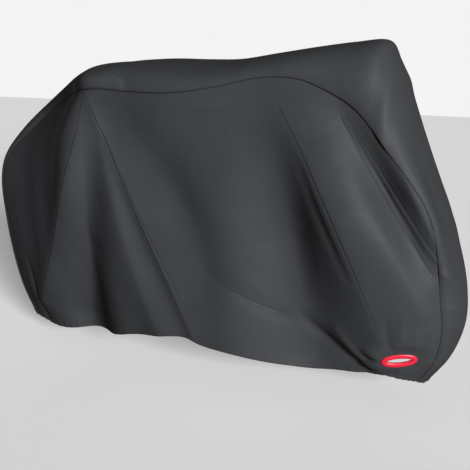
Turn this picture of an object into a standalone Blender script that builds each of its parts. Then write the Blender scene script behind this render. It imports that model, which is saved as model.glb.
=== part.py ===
"""A fitted bicycle cover, in the shape in which it hangs.

Two side panels are sewn to a centre band, which runs from the hem at one wheel, over the top, to the
hem at the other. Near one lower corner a strip on each side holds a red oval ring for a lock.

Metres, +Z up. +X points to the end with the rings, and -Y to the near side. The tables give heights
above the ground, and the origin is under the top, where the cover hangs on what it protects.
"""
import math

import bmesh
import bpy
import numpy as np
from mathutils import Vector
from mathutils.bvhtree import BVHTree

HANGING_HEIGHT = 1.036
CLOTH_THICKNESS = 0.002
SEAM_GAP = 0.0003

# Cells of the cloth's mesh: along a side panel, up a side panel and across the centre band.
CELLS_ALONG = 56
CELLS_UP = 16
CELLS_ACROSS = 8

# The lock hole: where its middle lies, the ring that lines it, and the cells that its strip takes up.
HOLE_X = 0.700
HOLE_HEIGHT = 0.190
RING_LENGTH = 0.106
RING_HEIGHT = 0.047
RING_LIP = 0.0105
RING_WALL = 0.0035
# How much of the ring's wall stands at the shoulders of its rounded outside.
RING_SHOULDER = 0.8
RING_STEPS = 36
RING_SLANT = math.radians(6)
HOLE_PLAY = 0.001
FLAT_MARGIN = 0.014
STRIP_CELLS_ALONG = 6
STRIP_CELLS_UP = 4

# The centre band, a row for each cross section, from the left hem over the top to the right hem.
# Columns: ridge x, ridge height, seam x, seam height, half width at the seam, squareness of the section.
BAND_SECTIONS = (
    (-0.745, 0.085, -0.710, 0.085, 0.050, 2.0),
    (-0.797, 0.200, -0.767, 0.200, 0.055, 2.0),
    (-0.831, 0.330, -0.801, 0.330, 0.060, 2.0),
    (-0.852, 0.470, -0.822, 0.470, 0.062, 2.0),
    (-0.857, 0.600, -0.827, 0.590, 0.065, 2.0),
    (-0.828, 0.700, -0.798, 0.680, 0.065, 2.0),
    (-0.740, 0.798, -0.710, 0.768, 0.065, 2.0),
    (-0.625, 0.888, -0.595, 0.850, 0.074, 2.0),
    (-0.500, 0.962, -0.480, 0.900, 0.138, 2.2),
    (-0.380, 1.012, -0.370, 0.938, 0.225, 2.8),
    (-0.285, 1.033, -0.285, 0.957, 0.277, 3.4),
    (-0.150, 1.042, -0.150, 0.950, 0.250, 2.8),
    (0.000, 1.042, 0.000, 0.951, 0.228, 2.4),
    (0.130, 1.046, 0.130, 0.970, 0.208, 2.2),
    (0.260, 1.066, 0.260, 0.998, 0.185, 2.2),
    (0.390, 1.086, 0.370, 0.998, 0.170, 2.2),
    (0.500, 1.100, 0.455, 0.967, 0.158, 2.2),
    (0.586, 1.105, 0.530, 0.923, 0.152, 2.2),
    (0.614, 1.062, 0.590, 0.865, 0.147, 2.2),
    (0.645, 0.985, 0.650, 0.788, 0.140, 2.2),
    (0.692, 0.850, 0.705, 0.720, 0.130, 2.2),
    (0.743, 0.710, 0.755, 0.655, 0.122, 2.0),
    (0.788, 0.600, 0.785, 0.590, 0.115, 2.0),
    (0.836, 0.470, 0.793, 0.470, 0.103, 2.0),
    (0.858, 0.370, 0.800, 0.380, 0.095, 2.0),
    (0.857, 0.280, 0.806, 0.285, 0.085, 2.0),
    (0.824, 0.180, 0.790, 0.190, 0.075, 2.0),
    (0.765, 0.095, 0.742, 0.105, 0.062, 2.0),
)
# The sections at which a side panel has its two upper corners.
NOSE_SECTION = 6
SHOULDER_SECTION = 22

# The hem of a side panel. Columns: x, height, half width.
HEM_POINTS = (
    (-0.710, 0.085, 0.050),
    (-0.600, 0.085, 0.090),
    (-0.500, 0.105, 0.130),
    (-0.420, 0.120, 0.150),
    (-0.310, 0.139, 0.180),
    (-0.180, 0.160, 0.200),
    (-0.050, 0.178, 0.218),
    (0.035, 0.187, 0.228),
    (0.100, 0.169, 0.232),
    (0.210, 0.162, 0.235),
    (0.350, 0.152, 0.215),
    (0.450, 0.144, 0.185),
    (0.550, 0.135, 0.150),
    (0.640, 0.132, 0.125),
    (0.700, 0.123, 0.105),
    (0.742, 0.105, 0.062),
)

# How far a side panel stands out from the blend of its edges, at fractions of its length.
# Columns: fraction along; a quarter, half and three quarters of the way up.
FULLNESS = (
    (0.00, 0.000, 0.000, 0.000),
    (0.06, 0.025, 0.035, 0.025),
    (0.15, 0.025, 0.040, 0.025),
    (0.30, 0.010, 0.015, 0.010),
    (0.50, 0.010, 0.015, 0.010),
    (0.75, 0.015, 0.030, 0.020),
    (0.92, 0.015, 0.015, 0.010),
    (1.00, 0.000, 0.000, 0.000),
)

# Folds of a side, as crests (positive) and valleys (negative), each through three points.
# Columns: x, height; x, height; x, height; reach to the left, to the right; lift at the three points.
NEAR_FOLDS = (
    (-0.300, 0.950, -0.460, 0.640, -0.610, 0.240, 0.045, 0.060, 0.004, 0.022, 0.026),
    (-0.340, 0.780, -0.320, 0.480, -0.325, 0.150, 0.045, 0.045, -0.004, -0.038, -0.036),
    (-0.300, 0.930, -0.150, 0.560, 0.010, 0.200, 0.045, 0.035, 0.004, 0.024, 0.022),
    (-0.200, 0.820, 0.000, 0.620, 0.100, 0.420, 0.060, 0.035, -0.006, -0.024, -0.020),
    (0.150, 0.900, 0.200, 0.580, 0.230, 0.240, 0.080, 0.080, 0.004, 0.022, 0.020),
    (0.120, 0.390, 0.260, 0.330, 0.410, 0.260, 0.035, 0.035, -0.014, -0.014, -0.006),
    (0.270, 0.850, 0.375, 0.560, 0.470, 0.200, 0.060, 0.070, -0.006, -0.052, -0.036),
    (0.320, 0.930, 0.480, 0.590, 0.640, 0.220, 0.040, 0.060, 0.004, 0.030, 0.016),
    (0.450, 0.950, 0.570, 0.700, 0.690, 0.420, 0.050, 0.045, 0.004, 0.024, 0.010),
    (0.505, 0.910, 0.615, 0.745, 0.735, 0.560, 0.035, 0.035, -0.010, -0.044, -0.020),
    (0.540, 0.920, 0.665, 0.770, 0.780, 0.620, 0.030, 0.030, 0.002, 0.018, 0.008),
)
FAR_FOLDS = (
    (-0.310, 0.940, -0.480, 0.620, -0.580, 0.220, 0.050, 0.060, 0.004, 0.020, 0.024),
    (-0.300, 0.800, -0.350, 0.500, -0.370, 0.150, 0.045, 0.045, -0.004, -0.030, -0.040),
    (-0.280, 0.930, -0.200, 0.560, -0.120, 0.190, 0.045, 0.045, 0.004, 0.024, 0.022),
    (-0.180, 0.840, -0.060, 0.580, 0.000, 0.300, 0.050, 0.045, -0.006, -0.026, -0.020),
    (0.080, 0.900, 0.120, 0.580, 0.120, 0.240, 0.075, 0.070, 0.004, 0.022, 0.018),
    (0.240, 0.840, 0.280, 0.560, 0.300, 0.200, 0.055, 0.050, -0.006, -0.036, -0.036),
    (0.340, 0.930, 0.420, 0.600, 0.460, 0.210, 0.045, 0.055, 0.004, 0.026, 0.020),
    (0.440, 0.860, 0.540, 0.600, 0.600, 0.300, 0.050, 0.045, -0.006, -0.026, -0.014),
    (0.530, 0.900, 0.650, 0.700, 0.720, 0.420, 0.040, 0.040, 0.004, 0.022, 0.010),
)

# Folds of the centre band. Columns: metres along the ridge and across it (negative is near) at three
# points; reach to the left, to the right; lift at the three points.
BAND_FOLDS = (
    (1.300, -0.240, 1.330, 0.000, 1.300, 0.240, 0.030, 0.030, -0.004, -0.008, -0.004),
    (2.250, -0.130, 2.280, 0.000, 2.260, 0.130, 0.030, 0.030, 0.006, 0.004, 0.006),
    (2.760, -0.080, 2.770, 0.000, 2.750, 0.080, 0.020, 0.020, 0.008, 0.008, 0.004),
)
FOLD_STEPS = 12
# A side's folds fade out on the band, from its seam to this fraction across it.
FOLD_FADE = 0.4

# Marks of the faces by piece, and of vertices that the band's folds don't reach.
NEAR_PANEL, FAR_PANEL, BAND, NEAR_STRIP, FAR_STRIP = range(5)
OFF_THE_BAND = -1.0
WELD_DISTANCE = 0.00002

# Steps in which a curve's length is measured, for each cell along it.
FINE_STEPS = 60

SHARP_ANGLE = math.radians(50)

# Colours, each with its roughness.
CHARCOAL_CLOTH = ((0.040, 0.041, 0.044, 1.0), 0.62)
RED_PLASTIC = ((0.560, 0.020, 0.045, 1.0), 0.38)


def smooth_rows(table, places):
    """Rows of a table at fractional row numbers, along a smooth curve through all of them."""
    rows = np.asarray(table, float)
    last = len(rows) - 1
    places = np.clip(np.asarray(places, float), 0, last)
    first = np.minimum(places.astype(int), last - 1)
    share = (places - first)[..., None]
    start = rows[first]
    end = rows[first + 1]
    before = np.where((first > 0)[..., None], rows[np.maximum(first - 1, 0)], 2 * start - end)
    after = np.where((first < last - 1)[..., None], rows[np.minimum(first + 2, last)], 2 * end - start)
    slope_start = (end - before) / 2
    slope_end = (after - start) / 2
    cube = share ** 3
    square = share ** 2
    return (
        (2 * cube - 3 * square + 1) * start
        + (cube - 2 * square + share) * slope_start
        + (3 * square - 2 * cube) * end
        + (cube - square) * slope_end
    )


def even_places(table, first, last, cells):
    """Fractional row numbers that part a stretch of a table's curve into cells of one length."""
    fine = np.linspace(first, last, FINE_STEPS * cells + 1)
    points = smooth_rows(table, fine)
    lengths = np.linalg.norm(np.diff(points, axis=0), axis=1)
    travelled = np.concatenate(([0.0], np.cumsum(lengths)))
    return np.interp(np.linspace(0, travelled[-1], cells + 1), travelled, fine)


def seam_curve():
    """The seam's columns of the band's table: x, height and half width."""
    return [(row[2], row[3], row[4]) for row in BAND_SECTIONS]


def band_places():
    """Row numbers of the band's cross sections: up the left end, along the top, down the right end."""
    seam = seam_curve()
    left = even_places(seam, 0, NOSE_SECTION, CELLS_UP)
    top = even_places(seam, NOSE_SECTION, SHOULDER_SECTION, CELLS_ALONG)
    right = even_places(seam, SHOULDER_SECTION, len(seam) - 1, CELLS_UP)
    return left, top, right


def panel_points(side):
    """A side panel's grid of points, blended between its four edges and filled out."""
    left_places, top_places, right_places = band_places()
    seam = seam_curve()
    left = smooth_rows(seam, left_places)[:, None, :]
    top = smooth_rows(seam, top_places)[None, :, :]
    right = smooth_rows(seam, right_places[::-1])[:, None, :]
    hem_places = even_places(HEM_POINTS, 0, len(HEM_POINTS) - 1, CELLS_ALONG)
    hem = smooth_rows(HEM_POINTS, hem_places)[None, :, :]
    along = np.linspace(0, 1, CELLS_ALONG + 1)[None, :, None]
    up = np.linspace(0, 1, CELLS_UP + 1)[:, None, None]
    corners = (
        (1 - along) * (1 - up) * hem[:, :1]
        + along * (1 - up) * hem[:, -1:]
        + (1 - along) * up * top[:, :1]
        + along * up * top[:, -1:]
    )
    grid = (1 - up) * hem + up * top + (1 - along) * left + along * right - corners
    grid[..., 2] += fullness(along[..., 0], up[..., 0])
    return np.stack((grid[..., 0], side * grid[..., 2], grid[..., 1] - HANGING_HEIGHT), axis=-1)


def fullness(along, up):
    """How far the panel stands out from its edges' blend, at fractions along it and up it."""
    table = np.asarray(FULLNESS)
    shape = np.broadcast_shapes(along.shape, up.shape)
    along, up = np.broadcast_to(along, shape), np.broadcast_to(up, shape)
    lifts = [np.interp(along, table[:, 0], table[:, column]) for column in (1, 2, 3)]
    none = np.zeros(shape)
    levels = np.stack([none, *lifts, none], axis=-1)
    weights = smooth_rows(np.eye(5), up.ravel() * 4).reshape(*shape, 5)
    return (levels * weights).sum(axis=-1)


def band_point(section, across):
    """A point of the band's cross section, at a fraction across it from -1 (near seam) to 1 (far seam)."""
    ridge_x, ridge_height, seam_x, seam_height, half_width, squareness = section
    fall = 1 - max(0.0, 1 - abs(across) ** squareness) ** (1 / squareness)
    return Vector((
        ridge_x + (seam_x - ridge_x) * fall,
        half_width * across,
        ridge_height + (seam_height - ridge_height) * fall - HANGING_HEIGHT,
    ))


def band_fractions(squareness):
    """Fractions across the band, closer together where a square section turns down to its seam."""
    turn = math.pi / 2
    steps = np.linspace(-turn, turn, CELLS_ACROSS + 1)
    return [math.copysign(abs(math.sin(angle)) ** (2 / squareness), angle) for angle in steps]


def fold_lift(places, folds):
    """The lift that a table of folds gives at places, two numbers for each."""
    lift = np.zeros(len(places))
    for row in folds:
        corner = np.array(row[:6]).reshape(3, 2)
        reach_left, reach_right = row[6:8]
        share = np.linspace(0, 1, FOLD_STEPS + 1)[:, None]
        curve = (1 - share) ** 2 * corner[0] + share ** 2 * corner[2]
        curve = curve + 2 * share * (1 - share) * (2 * corner[1] - (corner[0] + corner[2]) / 2)
        lifts = np.interp(share[:, 0], (0, 0.5, 1), row[8:11])
        nearest = np.full(len(places), np.inf)
        here = np.zeros(len(places))
        for step in range(FOLD_STEPS):
            run = curve[step + 1] - curve[step]
            offset = places - curve[step]
            part = np.clip(offset @ run / (run @ run), 0, 1)
            gap = offset - part[:, None] * run
            distance = np.linalg.norm(gap, axis=1)
            to_left = run[0] * offset[:, 1] - run[1] * offset[:, 0] < 0
            scaled = distance / np.where(to_left, reach_left, reach_right)
            closer = distance < nearest
            nearest = np.where(closer, distance, nearest)
            height = lifts[step] + part * (lifts[step + 1] - lifts[step])
            here = np.where(closer, height * np.exp(-scaled ** 2), here)
        lift += here
    return lift


def add_grid(sheet, cells_x, cells_y, place, piece_of, flip=False):
    """Add a grid of faces to the sheet. place gives a vertex's point and its place on the band, and
    piece_of gives a face's piece, each for its column and row."""
    across_layer = sheet.verts.layers.float["across"]
    along_layer = sheet.verts.layers.float["along"]
    made = bmesh.ops.create_grid(sheet, x_segments=cells_x, y_segments=cells_y, size=0.5)
    faces = {face for vert in made["verts"] for face in vert.link_faces}
    for face in faces:
        middle = face.calc_center_median()
        column = math.floor((middle.x + 0.5) * cells_x)
        row = math.floor((middle.y + 0.5) * cells_y)
        face.material_index = piece_of(column, row)
        if flip:
            face.normal_flip()
    for vert in made["verts"]:
        column = round((vert.co.x + 0.5) * cells_x)
        row = round((vert.co.y + 0.5) * cells_y)
        vert.co, vert[across_layer], vert[along_layer] = place(column, row)


def add_panel(sheet, side, panel, strip, ridge_lengths):
    """Add one side panel to the sheet, with its strip's cells marked as a piece of their own."""
    points = panel_points(side)
    right_end = len(ridge_lengths) - 1

    def place(column, row):
        station = None
        if row == CELLS_UP:
            station = CELLS_UP + column
        elif column == 0:
            station = row
        elif column == CELLS_ALONG:
            station = right_end - row
        along = OFF_THE_BAND if station is None else ridge_lengths[station]
        return Vector(points[row, column]), side, along

    def piece_of(column, row):
        in_strip = column >= CELLS_ALONG - STRIP_CELLS_ALONG and row < STRIP_CELLS_UP
        return strip if in_strip else panel

    add_grid(sheet, CELLS_ALONG, CELLS_UP, place, piece_of, flip=side > 0)


def add_band(sheet, sections, ridge_lengths):
    """Add the centre band to the sheet."""

    def place(column, row):
        section = sections[column]
        across = band_fractions(section[5])[row]
        return band_point(section, across), across, ridge_lengths[column]

    add_grid(sheet, len(sections) - 1, CELLS_ACROSS, place, lambda column, row: BAND)


def raise_folds(sheet):
    """Move the sheet's vertices along their normals by the lift of the folds."""
    across_layer = sheet.verts.layers.float["across"]
    along_layer = sheet.verts.layers.float["along"]
    sheet.normal_update()
    across = np.array([vert[across_layer] for vert in sheet.verts])
    on_side = np.array([(vert.co.x, vert.co.z + HANGING_HEIGHT) for vert in sheet.verts])
    on_band = np.array([(vert[along_layer], vert.co.y) for vert in sheet.verts])
    near_share = np.clip((-across - FOLD_FADE) / (1 - FOLD_FADE), 0, 1) ** 2
    far_share = np.clip((across - FOLD_FADE) / (1 - FOLD_FADE), 0, 1) ** 2
    lift = near_share * fold_lift(on_side, NEAR_FOLDS)
    lift += far_share * fold_lift(on_side, FAR_FOLDS)
    lift += fold_lift(on_band, BAND_FOLDS)
    moves = [vert.normal * height for vert, height in zip(sheet.verts, lift)]
    for vert, move in zip(sheet.verts, moves):
        vert.co += move
    sheet.normal_update()


class LockHole:
    """The flat patch of cloth around a lock hole: its middle, and its level, upward and outward ways."""

    def __init__(self, sheet, side, strip):
        faces = [face for face in sheet.faces if face.material_index == strip]
        outward = Vector((0, 0, 0))
        for face in faces:
            outward += face.normal * face.calc_area()
        self.outward = outward.normalized()
        level = Vector((0, 0, 1)).cross(self.outward).normalized()
        upward = self.outward.cross(level)
        slant = -side * RING_SLANT
        self.level = level * math.cos(slant) + upward * math.sin(slant)
        self.upward = self.outward.cross(self.level)
        start = Vector((HOLE_X, side, HOLE_HEIGHT - HANGING_HEIGHT))
        tree = BVHTree.FromBMesh(sheet)
        self.middle = tree.ray_cast(start, Vector((0, -side, 0)))[0]

    def point(self, turn, out, lift=0.0):
        """A point at a turn around the hole, a distance out from the cloth's edge, and above the cloth."""
        half_length = RING_LENGTH / 2 - RING_LIP
        half_height = RING_HEIGHT / 2 - RING_LIP
        slant = math.hypot(half_height * math.cos(turn), half_length * math.sin(turn))
        level = half_length * math.cos(turn) + out * half_height * math.cos(turn) / slant
        upward = half_height * math.sin(turn) + out * half_length * math.sin(turn) / slant
        return self.middle + self.level * level + self.upward * upward + self.outward * lift

    def turn_of(self, point):
        """The angle around the hole at which a point lies."""
        offset = point - self.middle
        return math.atan2(offset.dot(self.upward), offset.dot(self.level))


def cut_lock_hole(sheet, hole, strip):
    """Replace the strip's cells by rings of faces around the oval hole."""
    faces = [face for face in sheet.faces if face.material_index == strip]
    inside = set(faces)
    edges = {edge for face in faces for edge in face.edges}
    rim = {edge for edge in edges if sum(face in inside for face in edge.link_faces) == 1}
    outer = sorted({vert for edge in rim for vert in edge.verts}, key=lambda vert: hole.turn_of(vert.co))
    rim_verts = set(outer)
    inner = [vert for face in faces for vert in face.verts if vert not in rim_verts]
    bmesh.ops.delete(sheet, geom=faces, context="FACES_KEEP_BOUNDARY")
    bmesh.ops.delete(sheet, geom=[vert for vert in set(inner) if vert.is_valid], context="VERTS")
    count = len(outer)
    first = min(range(count), key=lambda index: abs(hole.turn_of(outer[index].co)))
    turns = [math.tau * (index - first) / count for index in range(count)]
    flat = [hole.point(turn, FLAT_MARGIN) for turn in turns]
    middle = [(vert.co + point) / 2 for vert, point in zip(outer, flat)]
    edge = [hole.point(turn, HOLE_PLAY) for turn in turns]
    loops = [outer]
    for points in (middle, flat, edge):
        loops.append([sheet.verts.new(point) for point in points])
    for wide, narrow in zip(loops, loops[1:]):
        for index in range(count):
            after = (index + 1) % count
            face = sheet.faces.new((wide[index], wide[after], narrow[after], narrow[index]))
            face.material_index = strip


def cover_sheet():
    """The whole cover as one sheet without thickness, its faces marked by piece, and its lock holes."""
    sheet = bmesh.new()
    sheet.verts.layers.float.new("across")
    sheet.verts.layers.float.new("along")
    left, top, right = band_places()
    places = np.concatenate((left, top[1:], right[1:]))
    sections = smooth_rows(BAND_SECTIONS, places)
    runs = np.linalg.norm(np.diff(sections[:, :2], axis=0), axis=1)
    ridge_lengths = np.concatenate(([0.0], np.cumsum(runs)))
    add_panel(sheet, -1, NEAR_PANEL, NEAR_STRIP, ridge_lengths)
    add_panel(sheet, 1, FAR_PANEL, FAR_STRIP, ridge_lengths)
    add_band(sheet, sections, ridge_lengths)
    bmesh.ops.remove_doubles(sheet, verts=sheet.verts[:], dist=WELD_DISTANCE)
    raise_folds(sheet)
    holes = []
    for side, strip in ((-1, NEAR_STRIP), (1, FAR_STRIP)):
        hole = LockHole(sheet, side, strip)
        cut_lock_hole(sheet, hole, strip)
        holes.append(hole)
    sheet.normal_update()
    outward = sheet.verts.layers.float_vector.new("outward")
    for vert in sheet.verts:
        vert[outward] = vert.normal
    bmesh.ops.triangulate(sheet, faces=sheet.faces[:], quad_method="SHORT_EDGE")
    for edge in sheet.edges:
        edge.seam = len({face.material_index for face in edge.link_faces}) == 2
    return sheet, holes


def part_seams(piece):
    """Draw a piece's sewn edges back by half the gap between two pieces."""
    moves = {}
    for vert in piece.verts:
        ways = []
        for edge in vert.link_edges:
            if not edge.seam:
                continue
            face = edge.link_faces[0]
            run = (edge.verts[1].co - edge.verts[0].co).normalized()
            inward = face.calc_center_median() - edge.verts[0].co
            inward -= run * inward.dot(run)
            ways.append(inward.normalized())
        if len(ways) == 1:
            moves[vert] = ways[0]
        elif len(ways) == 2:
            moves[vert] = (ways[0] + ways[1]) / (1 + ways[0].dot(ways[1]))
    for vert, way in moves.items():
        vert.co += way * SEAM_GAP / 2


def thicken(piece):
    """Give the piece's sheet its thickness, inward from the outer face."""
    outward = piece.verts.layers.float_vector["outward"]
    made = bmesh.ops.extrude_face_region(piece, geom=piece.faces[:], use_keep_orig=True)
    for item in made["geom"]:
        if isinstance(item, bmesh.types.BMVert):
            item.co -= item[outward] * CLOTH_THICKNESS
    bmesh.ops.recalc_face_normals(piece, faces=piece.faces[:])


def add_object(name, shape, colour, roughness):
    """Make a scene object from a bmesh, with a material of its own."""
    for face in shape.faces:
        face.material_index = 0
    mesh = bpy.data.meshes.new(name)
    shape.to_mesh(mesh)
    shape.free()
    mesh.shade_smooth()
    mesh.set_sharp_from_angle(angle=SHARP_ANGLE)
    material = bpy.data.materials.new(name)
    material.use_nodes = True
    shader = material.node_tree.nodes["Principled BSDF"]
    shader.inputs["Base Color"].default_value = colour
    shader.inputs["Roughness"].default_value = roughness
    shader.inputs["Metallic"].default_value = 0.0
    mesh.materials.append(material)
    piece = bpy.data.objects.new(name, mesh)
    bpy.context.scene.collection.objects.link(piece)
    return piece


def cloth_piece(sheet, name, index):
    """One cut piece of cloth, taken out of the whole sheet."""
    piece = sheet.copy()
    others = [face for face in piece.faces if face.material_index != index]
    bmesh.ops.delete(piece, geom=others, context="FACES")
    part_seams(piece)
    thicken(piece)
    add_object(name, piece, *CHARCOAL_CLOTH)


def eyelet_ring(hole, name):
    """The red oval ring: a channel that holds the cloth's edge, led around the hole."""
    outer = SEAM_GAP
    inner = -CLOTH_THICKNESS - SEAM_GAP
    shoulder = RING_WALL * RING_SHOULDER
    rounded = RING_WALL / 2
    channel = (
        (RING_LIP, outer),
        (RING_LIP - rounded, outer + shoulder),
        (RING_LIP / 2, outer + RING_WALL),
        (0.0, outer + shoulder),
        (-SEAM_GAP - RING_WALL, outer),
        (-SEAM_GAP - RING_WALL, inner),
        (0.0, inner - shoulder),
        (RING_LIP / 2, inner - RING_WALL),
        (RING_LIP - rounded, inner - shoulder),
        (RING_LIP, inner),
        (-SEAM_GAP, inner),
        (-SEAM_GAP, outer),
    )
    ring = bmesh.new()
    loops = []
    for step in range(RING_STEPS):
        turn = math.tau * step / RING_STEPS
        loops.append([ring.verts.new(hole.point(turn, out, lift)) for out, lift in channel])
    for step, loop in enumerate(loops):
        after = loops[(step + 1) % RING_STEPS]
        for index in range(len(channel)):
            other = (index + 1) % len(channel)
            ring.faces.new((loop[index], loop[other], after[other], after[index]))
    bmesh.ops.recalc_face_normals(ring, faces=ring.faces[:])
    add_object(name, ring, *RED_PLASTIC)


def build_cover():
    """Build every piece of the cover."""
    for item in list(bpy.data.objects):
        bpy.data.objects.remove(item)
    sheet, holes = cover_sheet()
    cloth_piece(sheet, "near_side_panel", NEAR_PANEL)
    cloth_piece(sheet, "far_side_panel", FAR_PANEL)
    cloth_piece(sheet, "centre_band", BAND)
    cloth_piece(sheet, "near_lock_strip", NEAR_STRIP)
    cloth_piece(sheet, "far_lock_strip", FAR_STRIP)
    sheet.free()
    eyelet_ring(holes[0], "near_eyelet_ring")
    eyelet_ring(holes[1], "far_eyelet_ring")


build_cover()
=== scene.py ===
import math

import bmesh
import bpy
import numpy as np
from mathutils import Matrix, Vector


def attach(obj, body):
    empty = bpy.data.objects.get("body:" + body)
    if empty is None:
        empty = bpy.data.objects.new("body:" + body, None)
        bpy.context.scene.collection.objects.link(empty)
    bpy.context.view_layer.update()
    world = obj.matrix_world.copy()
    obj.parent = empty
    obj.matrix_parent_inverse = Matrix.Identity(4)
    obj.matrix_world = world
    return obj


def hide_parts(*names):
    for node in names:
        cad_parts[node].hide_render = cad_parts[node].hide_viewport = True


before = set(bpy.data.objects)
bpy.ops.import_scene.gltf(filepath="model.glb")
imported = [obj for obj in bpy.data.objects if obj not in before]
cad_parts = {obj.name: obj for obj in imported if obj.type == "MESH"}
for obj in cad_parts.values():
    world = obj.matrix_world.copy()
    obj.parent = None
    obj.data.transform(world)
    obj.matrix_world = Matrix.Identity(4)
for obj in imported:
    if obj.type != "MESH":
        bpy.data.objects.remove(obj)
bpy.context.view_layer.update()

# ---------------------------------------------------------------------------------------------------
# The centre band: one long strip of charcoal coated polyester that runs from hem to hem over the top.
# It is cut wide where it goes over the handlebar and narrow at both ends, and sewn between the panels.
# Its seams give the panels their upper edges. Heights are above the ground, as a fitter measures them.

HANGING_HEIGHT = 1.036

# A row for each cross section, from the left hem over the top to the right hem.
# Columns: ridge x, ridge height, seam x, seam height, half width at the seam, squareness of the section.
BAND_SECTIONS = (
    (-0.745, 0.085, -0.710, 0.085, 0.050, 2.0),
    (-0.797, 0.200, -0.767, 0.200, 0.055, 2.0),
    (-0.831, 0.330, -0.801, 0.330, 0.060, 2.0),
    (-0.852, 0.470, -0.822, 0.470, 0.062, 2.0),
    (-0.857, 0.600, -0.827, 0.590, 0.065, 2.0),
    (-0.828, 0.700, -0.798, 0.680, 0.065, 2.0),
    (-0.740, 0.798, -0.710, 0.768, 0.065, 2.0),
    (-0.625, 0.888, -0.595, 0.850, 0.074, 2.0),
    (-0.500, 0.962, -0.480, 0.900, 0.138, 2.2),
    (-0.380, 1.012, -0.370, 0.938, 0.225, 2.8),
    (-0.285, 1.033, -0.285, 0.957, 0.277, 3.4),
    (-0.150, 1.042, -0.150, 0.950, 0.250, 2.8),
    (0.000, 1.042, 0.000, 0.951, 0.228, 2.4),
    (0.130, 1.046, 0.130, 0.970, 0.208, 2.2),
    (0.260, 1.066, 0.260, 0.998, 0.185, 2.2),
    (0.390, 1.086, 0.370, 0.998, 0.170, 2.2),
    (0.500, 1.100, 0.455, 0.967, 0.158, 2.2),
    (0.586, 1.105, 0.530, 0.923, 0.152, 2.2),
    (0.614, 1.062, 0.590, 0.865, 0.147, 2.2),
    (0.645, 0.985, 0.648, 0.790, 0.140, 2.2),
    (0.692, 0.850, 0.700, 0.724, 0.130, 2.2),
    (0.744, 0.710, 0.742, 0.662, 0.122, 2.0),
    (0.790, 0.600, 0.772, 0.590, 0.115, 2.0),
    (0.838, 0.470, 0.790, 0.480, 0.103, 2.0),
    (0.858, 0.370, 0.798, 0.380, 0.095, 2.0),
    (0.857, 0.280, 0.806, 0.285, 0.085, 2.0),
    (0.824, 0.180, 0.790, 0.190, 0.075, 2.0),
    (0.765, 0.095, 0.742, 0.105, 0.062, 2.0),
)
BAND_SEAM = [(row[2], row[3], row[4]) for row in BAND_SECTIONS]
# The sections at which a side panel has its two upper corners.
NOSE_SECTION = 6
SHOULDER_SECTION = 22

# Cells of the cloth along a side panel, up it and across the band. Some lie closer, along hem and seams.
CELLS_ALONG = 300
CELLS_UP = 120
CELLS_ACROSS = 56
HEM_CELLS = 8
HEM_SHARE = 0.030
SEAM_CELLS = 5
SEAM_SHARE = 0.014
# The turn round a section, in radians, past which the cells lie closer, up to its seam.
SEAM_TURN = 1.40
# Width of the band laid flat, in its own UV.
BAND_WIDTH = 0.45
# Steps in which the length of a curve is measured.
LENGTH_STEPS = 4000

up_shares = np.interp(
    np.arange(CELLS_UP + 1),
    (0, HEM_CELLS, CELLS_UP - SEAM_CELLS, CELLS_UP),
    (0, HEM_SHARE, 1 - SEAM_SHARE, 1),
)
along_shares = np.interp(
    np.arange(CELLS_ALONG + 1),
    (0, SEAM_CELLS, CELLS_ALONG - SEAM_CELLS, CELLS_ALONG),
    (0, SEAM_SHARE, 1 - SEAM_SHARE, 1),
)


def smooth_rows(table, places):
    """Rows of a table at fractional row numbers, along a smooth curve through all of them."""
    rows = np.asarray(table, float)
    last = len(rows) - 1
    places = np.clip(np.asarray(places, float), 0, last)
    first = np.minimum(places.astype(int), last - 1)
    share = (places - first)[..., None]
    start = rows[first]
    end = rows[first + 1]
    before = np.where((first > 0)[..., None], rows[np.maximum(first - 1, 0)], 2 * start - end)
    after = np.where((first < last - 1)[..., None], rows[np.minimum(first + 2, last)], 2 * end - start)
    slope_start = (end - before) / 2
    slope_end = (after - start) / 2
    cube = share ** 3
    square = share ** 2
    return (
        (2 * cube - 3 * square + 1) * start
        + (cube - 2 * square + share) * slope_start
        + (3 * square - 2 * cube) * end
        + (cube - square) * slope_end
    )


def places_at(table, first, last, shares):
    """Fractional row numbers at shares of the length of a stretch of a table's curve."""
    fine = np.linspace(first, last, LENGTH_STEPS + 1)
    lengths = np.linalg.norm(np.diff(smooth_rows(table, fine), axis=0), axis=1)
    travelled = np.concatenate(([0.0], np.cumsum(lengths)))
    return np.interp(shares * travelled[-1], travelled, fine)


def lay_grid(columns, rows, shape, turned=False):
    """A flat grid of cloth, bent to the points and marks that shape gives for columns and rows."""
    flat = bmesh.new()
    flat.loops.layers.uv.new("flat")
    bmesh.ops.create_grid(flat, x_segments=columns, y_segments=rows, size=0.5, calc_uvs=True)
    if turned:
        bmesh.ops.reverse_faces(flat, faces=flat.faces)
    mesh = bpy.data.meshes.new("grid")
    flat.to_mesh(mesh)
    flat.free()
    places = np.empty(3 * len(mesh.vertices))
    mesh.vertices.foreach_get("co", places)
    places = places.reshape(-1, 3)
    column = np.rint((places[:, 0] + 0.5) * columns).astype(int)
    row = np.rint((places[:, 1] + 0.5) * rows).astype(int)
    points, marks, size = shape(column, row)
    mesh.vertices.foreach_set("co", points.ravel())
    for name, values in marks.items():
        mesh.attributes.new(name, "FLOAT", "POINT").data.foreach_set("value", values)
    uv = mesh.uv_layers["flat"].uv
    places = np.empty(2 * len(uv))
    uv.foreach_get("vector", places)
    uv.foreach_set("vector", (places.reshape(-1, 2) * size).ravel())
    return mesh


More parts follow.
